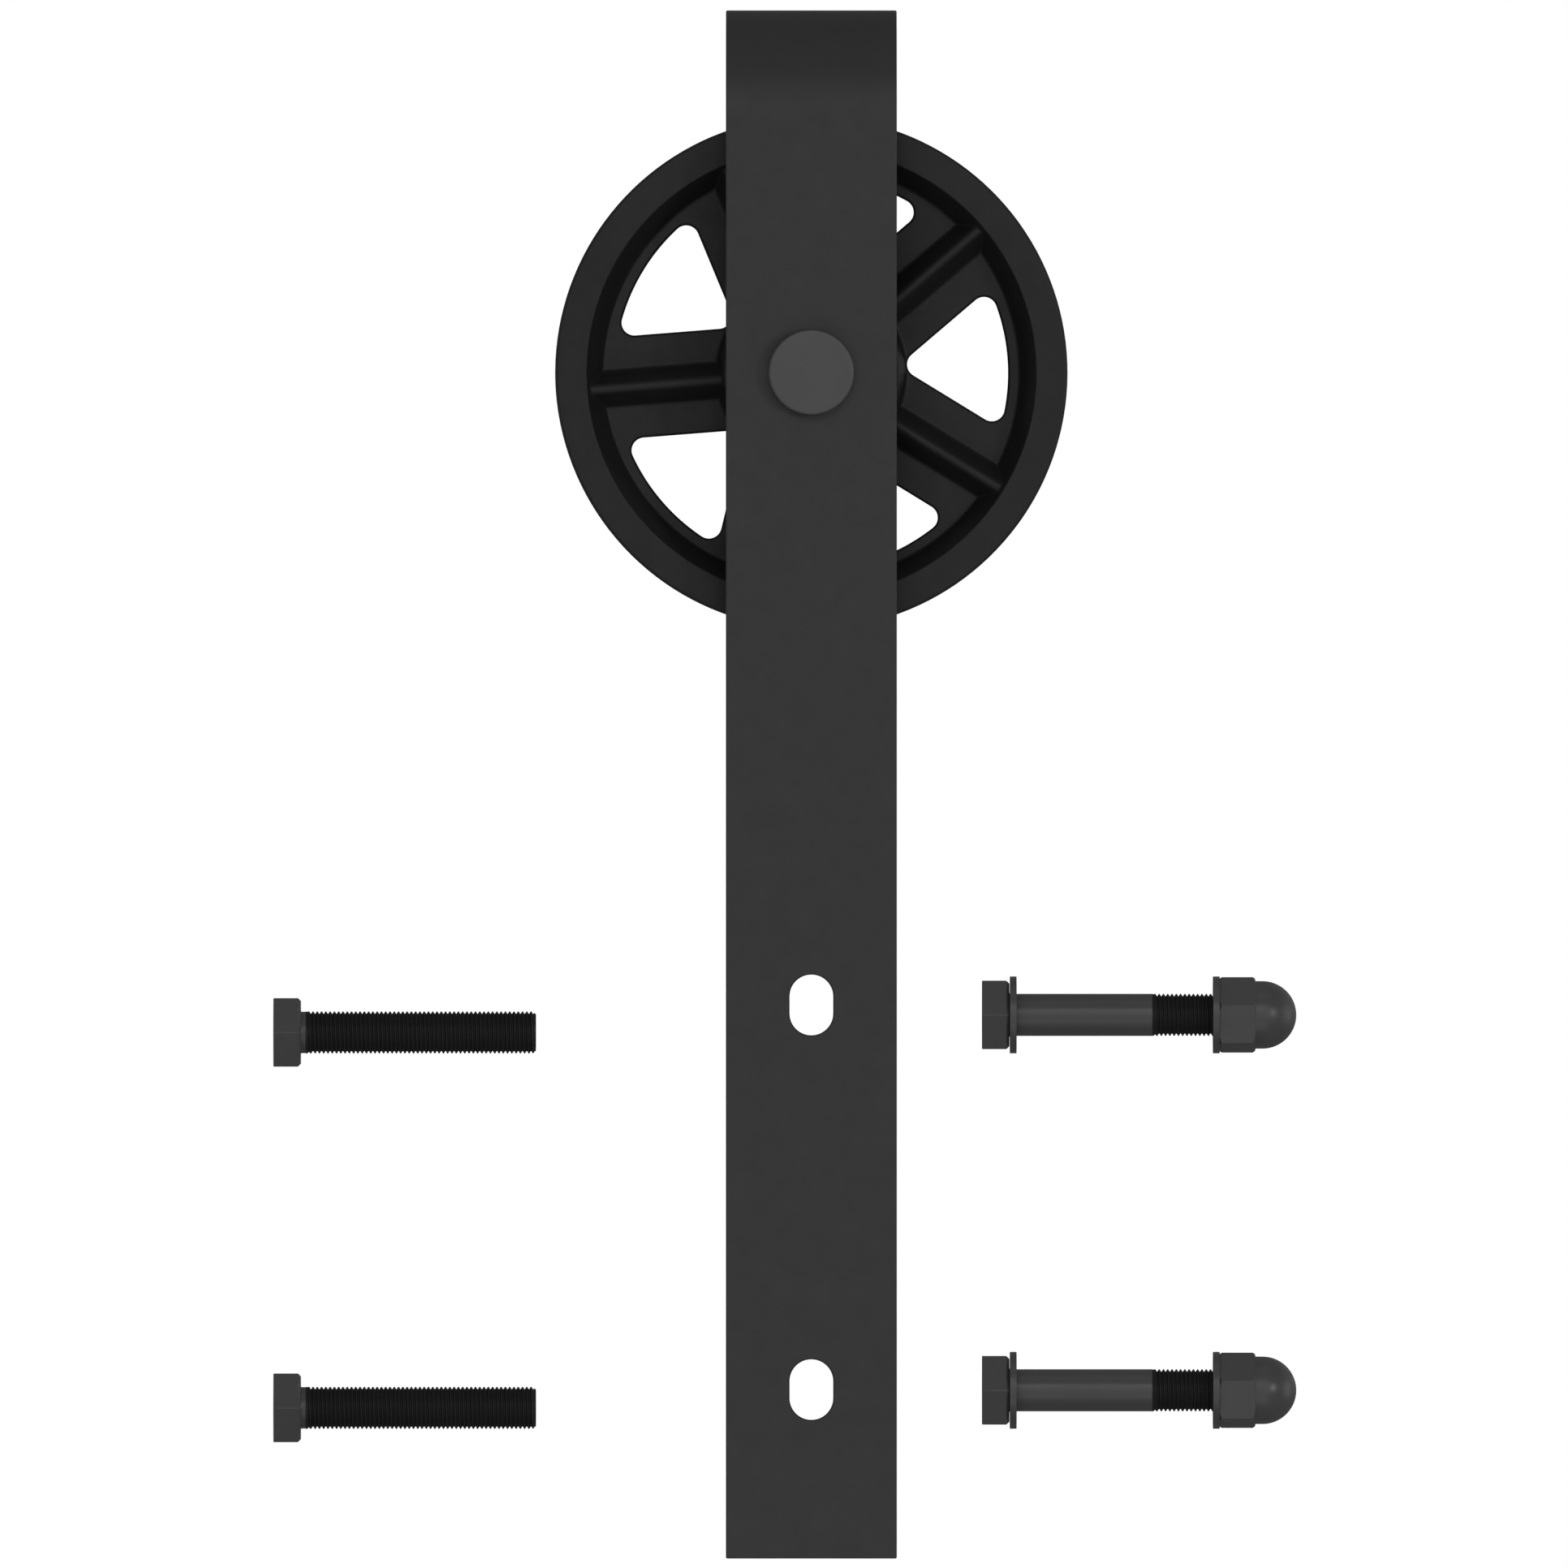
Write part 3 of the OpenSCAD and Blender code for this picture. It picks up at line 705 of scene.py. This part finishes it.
def window_cutter(base):
    """A cutter for the window after the spoke at angle base.

    It widens just under the web's two faces, to break their edges, and goes straight on past them.
    """
    step = SPOKE_STEP
    off = WINDOW_SIDE + WINDOW_CORNER
    outer_c = WINDOW_R - WINDOW_CORNER
    outer_a = math.asin(off / outer_c)
    inner_c = off / math.sin(step / 2)

    def outline(grow):
        r = WINDOW_CORNER + grow
        pts = []

        def corner(distance, at, a0, a1):
            """An arc from direction a0 to a1 round the centre at this distance and angle."""
            for k in range(WINDOW_CORNER_STEPS + 1):
                a = a0 + (a1 - a0) * k / WINDOW_CORNER_STEPS
                pts.append((distance * math.cos(at) + r * math.cos(a),
                            distance * math.sin(at) + r * math.sin(a)))

        # the corner at the hub, the one by the first spoke, the outer arc, the one by the next spoke
        corner(inner_c, step / 2, step + math.pi / 2, TAU - math.pi / 2)
        corner(outer_c, outer_a, -math.pi / 2, outer_a)
        for k in range(1, WINDOW_ARC_STEPS):
            a = outer_a + (step - 2 * outer_a) * k / WINDOW_ARC_STEPS
            pts.append(((WINDOW_R + grow) * math.cos(a), (WINDOW_R + grow) * math.sin(a)))
        corner(outer_c, step - outer_a, step - outer_a, step + math.pi / 2)
        return pts

    past = WEB_Y + WINDOW_CUT_PAST
    rings = []
    for y, grow in ((-past, WINDOW_EDGE), (-WEB_Y, WINDOW_EDGE), (-WEB_Y + WINDOW_EDGE, 0),
                    (WEB_Y - WINDOW_EDGE, 0), (WEB_Y, WINDOW_EDGE), (past, WINDOW_EDGE)):
        rings.append([(u * math.cos(base) - v * math.sin(base), y,
                       AXLE.origin[2] + (u * math.sin(base) + v * math.cos(base)))
                      for u, v in outline(grow)])
    return loft("cutter", rings)


def wheel_piece():
    """The casting: its section turned round the axle, with ribs raised on it and windows cut out."""
    grid = []
    for r, y, ribbed in wheel_section():
        phi, across = wheel_ring(r)
        depth = np.full(len(phi), abs(y))
        if ribbed and RIB_FROM_R <= r <= RIB_TO_R:
            depth = smooth_max(depth, rib_height(across), RIB_FILLET)
        grid.append(AXLE.points(np.full(len(phi), r), phi, math.copysign(1, y) * depth if y else depth * 0))
    faces = grid_faces(len(grid), len(grid[0]), closed=True)
    wheel = mesh_object("wheel_casting", np.concatenate(grid), faces)
    cutters = [window_cutter(FIRST_SPOKE + s * SPOKE_STEP) for s in range(SPOKES)]
    place(cut_away(wheel, cutters), "wheel", sharp=34)


# ---------------------------------------------------------------- loose fasteners

HEX = 6
HEX_CORNER = 0.3
HEX_TOUCH = math.radians(1.0)  # about half the angle that a rounded corner spans
BOLT_COLUMNS, FINE_COLUMNS, WASHER_COLUMNS = 72, 96, 144
HEAD_T = 6.4
HEAD_EDGE = 0.18
HEAD_FILLET = 0.25
THREAD_R = 4.95
THREAD_PITCH = 1.0
THREAD_CUT = 0.56
THREAD_BEVEL = 0.7
WASHER_HOLE_R = 5.25
WASHER_EDGE = 0.13
NUT_APOTHEM = 8.0
NUT_HEX_H = 8.3
NUT_BORE_R, NUT_BORE_L = 5.0, 13.0
NUT_LEAD = 0.6
NUT_FOOT, NUT_TOP = (0.47, 0.55), (0.6, 0.8)  # chamfers: along the axis, inward
NUT_PHASE = math.radians(16.2)  # the CAD turns a corner this far from the axis's own first direction
DOME_R = 7.9
DOME_STEPS = 24
DOME_TIP = 0.02


def hex_bolt(node, neck_r, thread_from, bevel):
    """A bolt from its head's outer face. Its head has a corner towards the room, at Y's low side."""
    axis = bolt_axis(node)
    phase = math.pi / 2
    columns = corner_columns(HEX, phase, HEX_TOUCH, BOLT_COLUMNS)
    apothem = (high(node)[2] - low(node)[2]) / 2
    total = high(node)[0] - low(node)[0]
    # the head from its outer face: how far in from the flats, and how far along
    profile = rounded([(3, 0), (0, 0), (0, HEAD_T - bevel), (bevel, HEAD_T), (2, HEAD_T)],
                      [0, HEAD_EDGE, 0.1, 0.1, 0], closed=False)
    rows = [(polygon_radius(columns, HEX, apothem - d, max(HEX_CORNER - d, 0.02), phase), a)
            for d, a in profile]
    rows += [(neck_r + HEAD_FILLET, HEAD_T), (neck_r + 0.07, HEAD_T + 0.07), (neck_r, HEAD_T + HEAD_FILLET),
             (neck_r, thread_from - abs(THREAD_R - neck_r)), (THREAD_R, thread_from)]
    thread = dict(a0=thread_from, a1=total, radius=THREAD_R, pitch=THREAD_PITCH, depth=THREAD_CUT,
                  bevel=THREAD_BEVEL)
    obj = place(revolve(node + "_piece", axis, rows, columns, thread=thread), node, sharp=38)
    # the threaded end gets painted shade, a darker material for the shade between its flanks
    paint_thread_shade(obj, axis, thread_from)


def washer(node):
    outer = (high(node)[2] - low(node)[2]) / 2
    thick = high(node)[0] - low(node)[0]
    section = rounded(rectangle(WASHER_HOLE_R, outer, 0, thick), WASHER_EDGE)
    place(revolve(node + "_piece", bolt_axis(node), section,
                  even_columns(WASHER_COLUMNS), closed=True), node)


def cap_nut(node):
    """A hexagon with a dome, from its foot, with a blind bore."""
    height = high(node)[0] - low(node)[0]
    columns = corner_columns(HEX, NUT_PHASE, HEX_TOUCH, FINE_COLUMNS)
    hexagon = polygon_radius(columns, HEX, NUT_APOTHEM, HEX_CORNER, NUT_PHASE)
    corner_r = hexagon.max()

    def chamfer(along, inward):
        rim = corner_r - inward
        return np.minimum(hexagon, rim), np.clip((hexagon - rim) * along / inward, 0, along)

    foot_r, foot_a = chamfer(*NUT_FOOT)
    top_r, top_a = chamfer(*NUT_TOP)
    rows = [(NUT_BORE_R, NUT_BORE_L), (NUT_BORE_R, NUT_LEAD), (NUT_BORE_R + NUT_LEAD, 0.0), (foot_r, 0.0),
            (hexagon, foot_a), (hexagon, NUT_HEX_H - top_a), (top_r, NUT_HEX_H),
            (DOME_R + 0.12, NUT_HEX_H), (DOME_R, NUT_HEX_H + 0.15)]
    rows += [(DOME_R * math.cos(a), height - DOME_R + DOME_R * math.sin(a))
             for a in np.linspace(0, math.pi / 2, DOME_STEPS + 1)[:-1]]
    rows.append((DOME_TIP, height))
    place(revolve(node + "_piece", bolt_axis(node), rows, columns), node, sharp=30)


# ---------------------------------------------------------------- axle

AXLE_COLUMNS = 120
AXLE_R = 5.97
AXLE_HEAD_INNER_R = 9  # the last point of the head's underside before the neck
AXLE_HEAD_UNDER = -25.0
NECK_HALF, NECK_CORNER = 6.0, 0.5
NECK_TOUCH = math.radians(2.5)
NECK_END, NECK_TAPER_END = -19.4, -19.0
AXLE_THREAD_FROM = 26.0
AXLE_THREAD_PITCH = 1.75
AXLE_THREAD_CUT = 0.9
LOCK_APOTHEM = 9.5
LOCK_CORNER = 0.4
LOCK_HEX_H = 9
LOCK_CHAMFER, LOCK_CHAMFER_SLOPE, LOCK_CHAMFER_MAX = 1.0, 0.577, 0.58
LOCK_BORE_R, LOCK_LEAD_R = 6.05, 6.6
COLLAR_FOOT_R, COLLAR_R, COLLAR_LIP_R, COLLAR_IN_R = 9.2, 8.6, 6.75, 7.7
COLLAR_LIP, COLLAR_FLOOR = 0.4, 2.8


def axle_bolt():
    """The axle from its round head at the front, with a square neck and a threaded rear end."""
    node = "axle_bolt"
    front, rear, head_r = low(node)[1], high(node)[1], high(node)[0]
    phase = math.pi / 4
    columns = corner_columns(4, phase, NECK_TOUCH, FINE_COLUMNS)
    neck = polygon_radius(columns, 4, NECK_HALF, NECK_CORNER, phase)
    rows = rounded([(head_r - 2, front), (head_r, front), (head_r, AXLE_HEAD_UNDER),
                    (AXLE_HEAD_INNER_R, AXLE_HEAD_UNDER)], [0, 0.55, 0.15, 0], 4, closed=False)
    rows += [(neck, AXLE_HEAD_UNDER), (neck, NECK_END), (AXLE_R, NECK_TAPER_END), (AXLE_R, AXLE_THREAD_FROM)]
    thread = dict(a0=AXLE_THREAD_FROM, a1=rear, radius=AXLE_R, pitch=AXLE_THREAD_PITCH,
                  depth=AXLE_THREAD_CUT, bevel=THREAD_BEVEL)
    place(revolve(node + "_piece", AXLE, rows, columns, thread=thread), node)


def axle_ring(node, section):
    """A ring round the axle takes the node's place. Its section holds points of (radius, y)."""
    place(revolve(node + "_piece", AXLE, section, even_columns(AXLE_COLUMNS), closed=True), node)


def tube(node, edge):
    """A plain ring or tube on the axle, with the radii and the ends of its CAD node."""
    points = node_points(node) - AXLE.origin
    out = np.hypot(points[:, 0], points[:, 2])
    axle_ring(node, rounded(rectangle(out.min(), out.max(), low(node)[1], high(node)[1]), edge))


def lock_nut():
    """A chamfered hexagon, with a collar that is rolled over the nylon ring's seat."""
    node = "axle_lock_nut"
    front, rear = low(node)[1], high(node)[1]
    columns = corner_columns(HEX, 0.0, HEX_TOUCH, FINE_COLUMNS)
    hexagon = polygon_radius(columns, HEX, LOCK_APOTHEM, LOCK_CORNER, 0.0)
    top = front + LOCK_HEX_H
    rim = hexagon.max() - LOCK_CHAMFER
    cone = np.clip((hexagon - rim) * LOCK_CHAMFER_SLOPE, 0, LOCK_CHAMFER_MAX)
    face = np.minimum(hexagon, rim)
    collar = rounded([(COLLAR_FOOT_R, top), (COLLAR_R, top), (COLLAR_R, rear), (COLLAR_LIP_R, rear),
                      (COLLAR_LIP_R, rear - COLLAR_LIP), (COLLAR_IN_R, rear - COLLAR_LIP),
                      (COLLAR_IN_R, rear - COLLAR_FLOOR), (LOCK_BORE_R, rear - COLLAR_FLOOR)],
                     [0, 0.3, 0.9, 0.15, 0.15, 0, 0, 0.1], 4, closed=False)
    rows = [(LOCK_BORE_R, front + 0.5), (LOCK_LEAD_R, front), (face, front), (hexagon, front + cone),
            (hexagon, top - cone), (face, top)] + collar
    place(revolve(node + "_piece", AXLE, rows, columns, closed=True), node)


# ---------------------------------------------------------------- bearings

BALLS = 7
BALL_SUBDIVISIONS = 4
BALL_PITCH_R = 11.0
TRACK_R = 3.025
TRACK_STEPS = 12
INNER_LAND_R, INNER_BORE_R = 8.9, 6.0
OUTER_LAND_R, OUTER_OUT_R = 13.1, 16.0
RACE_EDGE, LAND_EDGE = 0.5, 0.1
SHIELD_SEAT, SHIELD_SEAT_DEPTH = 0.6, 1.1  # from the bearing's face, and into the outer race
SHIELD_R0, SHIELD_R1 = 9.1, 14.2
SHIELD_T = 0.35
SHIELD_EDGE = 0.1
RING_EDGE = 0.12
RING_EDGE_ANGLE = math.radians(60)
RING_MERGE = 1e-6  # metres


def race(node, inner):
    """A bearing race with a grooved ball track, and in the outer race a seat for each shield."""
    mid = middle(node)[1]
    half = (high(node)[1] - low(node)[1]) / 2
    land, far = (INNER_LAND_R, INNER_BORE_R) if inner else (OUTER_LAND_R, OUTER_OUT_R)
    sign = -1 if inner else 1
    rise = abs(BALL_PITCH_R - land)
    a0 = math.atan2(math.sqrt(TRACK_R ** 2 - rise ** 2), rise)
    track = [(BALL_PITCH_R + sign * TRACK_R * math.cos(a), TRACK_R * math.sin(a))
             for a in np.linspace(-a0, a0, TRACK_STEPS + 1)]
    seat = half - SHIELD_SEAT
    seats = [] if inner else rectangle(land, land + SHIELD_SEAT_DEPTH, seat, seat + SHIELD_T)
    body = [(far, -half), (land, -half)] + [(r, -a) for r, a in reversed(seats)]
    body += track + seats + [(land, half), (far, half)]
    land_edge = LAND_EDGE if inner else 0
    radii = [RACE_EDGE, land_edge] + [0] * (len(body) - 4) + [land_edge, RACE_EDGE]
    axle_ring(node, [(r, mid + a) for r, a in rounded(body, radii)])


def shields(node):
    """Two thin rings, one in each side of the bearing."""
    columns = even_columns(AXLE_COLUMNS)
    points, faces = [], []
    for y, inward in ((low(node)[1], 1), (high(node)[1], -1)):
        section = rounded(rectangle(SHIELD_R0, SHIELD_R1, y, y + inward * SHIELD_T), SHIELD_EDGE, 2)
        faces += grid_faces(len(section), len(columns), start=len(points), closed=True)
        for r, a in section:
            points += list(AXLE.points(r, columns, a))
    place(mesh_object(node + "_piece", points, faces), node)


def balls(node):
    """The balls of one bearing, at the angles that the CAD gives them."""
    points = node_points(node) - AXLE.origin
    out = np.hypot(points[:, 0], points[:, 2])
    furthest = points[out.argmax()]
    phase = math.atan2(furthest[2], furthest[0])
    radius = (high(node)[1] - low(node)[1]) / 2
    centres = AXLE.points(out.max() - radius, phase + even_columns(BALLS), middle(node)[1])
    mesh = bpy.data.meshes.new(node + "_piece")
    bm = bmesh.new()
    for centre in centres:
        move = Matrix.Translation([float(c) * MM for c in centre])
        bmesh.ops.create_icosphere(bm, subdivisions=BALL_SUBDIVISIONS, radius=radius * MM, matrix=move)
    bm.to_mesh(mesh)
    bm.free()
    place(link_object(node + "_piece", mesh), node, weighted=False)


def retaining_ring(node):
    """The ring as the CAD has it, with its stamped edges eased."""
    mesh = frame["nodes"][node].data.copy()
    bm = bmesh.new()
    bm.from_mesh(mesh)
    bmesh.ops.remove_doubles(bm, verts=bm.verts, dist=RING_MERGE)
    bmesh.ops.dissolve_limit(bm, angle_limit=math.radians(1), verts=bm.verts, edges=bm.edges)
    edges = [e for e in bm.edges if e.is_manifold and e.calc_face_angle(0) > RING_EDGE_ANGLE]
    bmesh.ops.bevel(bm, geom=edges, offset=RING_EDGE * MM, segments=2, affect="EDGES", profile=0.5)
    bm.to_mesh(mesh)
    bm.free()
    place(link_object(node + "_piece", mesh), node)


# ---------------------------------------------------------------- build

strap_piece()
wheel_piece()
axle_bolt()
for side in ("front", "rear"):
    tube(side + "_spacer", 0.4)
    race(side + "_inner_race", inner=True)
    race(side + "_outer_race", inner=False)
    balls(side + "_bearing_balls")
    shields(side + "_bearing_shields")
    retaining_ring(side + "_retaining_ring")
tube("axle_washer", 0.35)
tube("lock_nut_insert", 0.25)
lock_nut()
for row in ("upper", "lower"):
    hex_bolt("full_thread_bolt_" + row, neck_r=4.85, thread_from=7.6, bevel=0.66)
    hex_bolt("door_bolt_" + row, neck_r=4.93, thread_from=39.8, bevel=0.68)
    washer("head_washer_" + row)
    washer("nut_washer_" + row)
    cap_nut("cap_nut_" + row)
# these keep their CAD shape and get a material
for node in ("bearing_sleeve", "front_ball_cage", "rear_ball_cage"):
    mesh = frame["nodes"][node].data
    mesh.materials.clear()
    mesh.materials.append(MATERIALS[SLOT_OF[node]])


# ---------------------------------------------------------------- floor, light and camera

FLOOR_Z = -1000.0
FLOOR_HALF = 12000.0
FLOOR_DARK, FLOOR_LIGHT = grey(0.37), grey(0.40)
FLOOR_PATCH = 300
FLOOR_ROUGHNESS = 0.9
FLOOR_LIFT = 0.7
WHITE = (1, 1, 1, 1)
WORLD_SEEN, WORLD_AMBIENT = 1.0, 0.15
AIM = Vector((0, 0, -0.045))  # metres
LENS = 1500.0
SENSOR = 36.0
CLIP_END = 100  # metres


def floor():
    corners = rectangle(-FLOOR_HALF, FLOOR_HALF, -FLOOR_HALF, FLOOR_HALF)
    obj = mesh_object("floor", [(x, y, FLOOR_Z) for x, y in corners], [(0, 1, 2, 3)])
    material, nodes, links, shader, where = graph("floor")
    patches = noise(nodes, links, where, FLOOR_PATCH, 2)
    links.new(ramp(nodes, links, patches, FLOOR_DARK, FLOOR_LIGHT), shader.inputs["Base Color"])
    shader.inputs["Roughness"].default_value = FLOOR_ROUGHNESS
    # what the camera sees is lifted to a pale tone, and what lights the object is not
    path = nodes.new("ShaderNodeLightPath")
    lift = maths(nodes, links, "MULTIPLY", path.outputs["Is Camera Ray"], FLOOR_LIFT)
    shader.inputs["Emission Color"].default_value = WHITE
    links.new(lift, shader.inputs["Emission Strength"])
    obj.data.materials.append(material)


def world():
    """White behind the object, and a dimmer grey for what lights it."""
    data = bpy.data.worlds.new("studio")
    bpy.context.scene.world = data
    data.use_nodes = True
    nodes, links = data.node_tree.nodes, data.node_tree.links
    background = nodes["Background"]
    background.inputs["Color"].default_value = WHITE
    path = nodes.new("ShaderNodeLightPath")
    level = nodes.new("ShaderNodeMapRange")
    level.inputs["To Min"].default_value = WORLD_AMBIENT
    level.inputs["To Max"].default_value = WORLD_SEEN
    links.new(path.outputs["Is Camera Ray"], level.inputs["Value"])
    links.new(level.outputs["Result"], background.inputs["Strength"])


def lamp(name, azimuth, elevation, distance, width, height, watts, spread=180, glossy=True):
    """A soft light that faces the object, in degrees, metres and watts.

    Azimuth 0 is the room's side, and it turns towards +X. spread is the angle of its beam, and a lamp
    that isn't glossy leaves no reflection.
    """
    data = bpy.data.lights.new(name, "AREA")
    data.shape = "RECTANGLE"
    data.size, data.size_y = width, height
    data.energy = watts
    data.spread = math.radians(spread)
    obj = link_object(name, data)
    az, el = math.radians(azimuth), math.radians(elevation)
    towards = Vector((math.cos(el) * math.sin(az), -math.cos(el) * math.cos(az), math.sin(el)))
    obj.location = AIM + distance * towards
    obj.rotation_euler = (AIM - obj.location).to_track_quat("-Z", "Y").to_euler()
    obj.visible_camera = False
    obj.visible_glossy = glossy


def camera(centre_x, centre_z, width, plane_y):
    """Looks along +Y at an area this wide in the plane plane_y, from so far off that depth hardly shows."""
    data = bpy.data.cameras.new("camera")
    data.lens = LENS
    data.sensor_width = SENSOR
    data.clip_end = CLIP_END
    obj = link_object("camera", data)
    obj.location = (centre_x * MM, (plane_y - width * LENS / SENSOR) * MM, centre_z * MM)
    obj.rotation_euler = (math.pi / 2, 0, 0)
    bpy.context.scene.camera = obj


floor()
world()
lamp("key", 0, 24, 3.2, 1.2, 0.7, 4.4)
lamp("front", 0, 2, 3.4, 3.8, 3.8, 35.5)
lamp("glint", 38, 6, 3.2, 0.35, 0.6, 12)
lamp("low", 0, -38, 1.25, 0.9, 0.6, 1.25)
lamp("top", 0, 72, 3.0, 2.4, 1.6, 4)
lamp("back_left", -135, 8, 3.4, 2.2, 1.6, 7, spread=40, glossy=False)
lamp("back_right", 135, 8, 3.4, 2.2, 1.6, 7, spread=40, glossy=False)
lamp("back_top", 180, 65, 3.0, 1.6, 1.6, 1.5, spread=60, glossy=False)
lamp("left", -92, 0, 3.2, 2.0, 2.0, 12)
lamp("right", 92, 0, 3.2, 2.0, 2.0, 12)
camera(centre_x=-6.4, centre_z=-44.3, width=366.8, plane_y=-25.0)
bpy.context.scene.view_settings.view_transform = "Standard"
